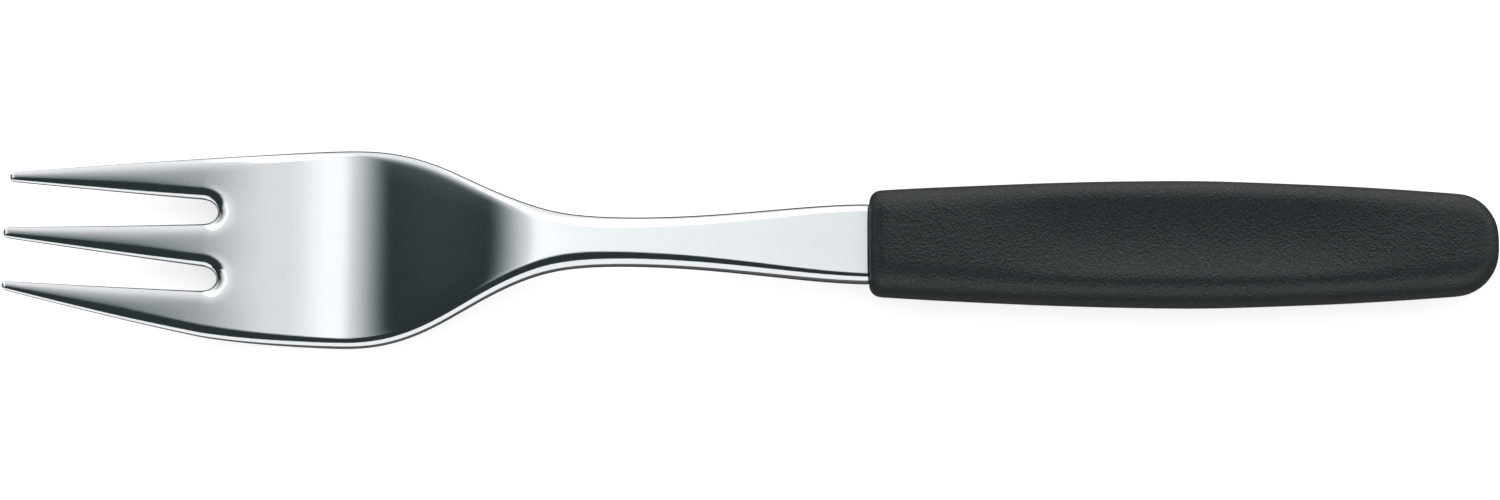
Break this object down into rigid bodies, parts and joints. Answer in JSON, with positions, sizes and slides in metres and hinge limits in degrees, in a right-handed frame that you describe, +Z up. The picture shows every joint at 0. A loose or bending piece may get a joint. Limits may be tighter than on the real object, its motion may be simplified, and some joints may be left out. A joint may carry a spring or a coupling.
{
  "type": "pastry fork",
  "caption": "Pastry fork: a stamped steel head with long tapered tines, the outer one on one side wider for cutting, a slim neck, and a moulded plastic handle with a thumb hollow.",
  "frame": {"origin": "bottom centre of the bounding box: on the surface the fork lies on, under its middle", "axes": "+X from the tine tips to the end of the handle, +Y across the fork away from the cutting tine, +Z up out of the hollow side of the head"},
  "size_m": [0.155, 0.0212, 0.0087],
  "materials": {
    "steel": "polished stainless steel with fine wipe marks and softly rounded edges",
    "handle_plastic": "black moulded plastic with a fine leather-like grain, slightly shinier along its crests"
  },
  "bodies": {
    "root": {"steel_fork": "steel", "handle": "handle_plastic"}
  },
  "joints": []
}
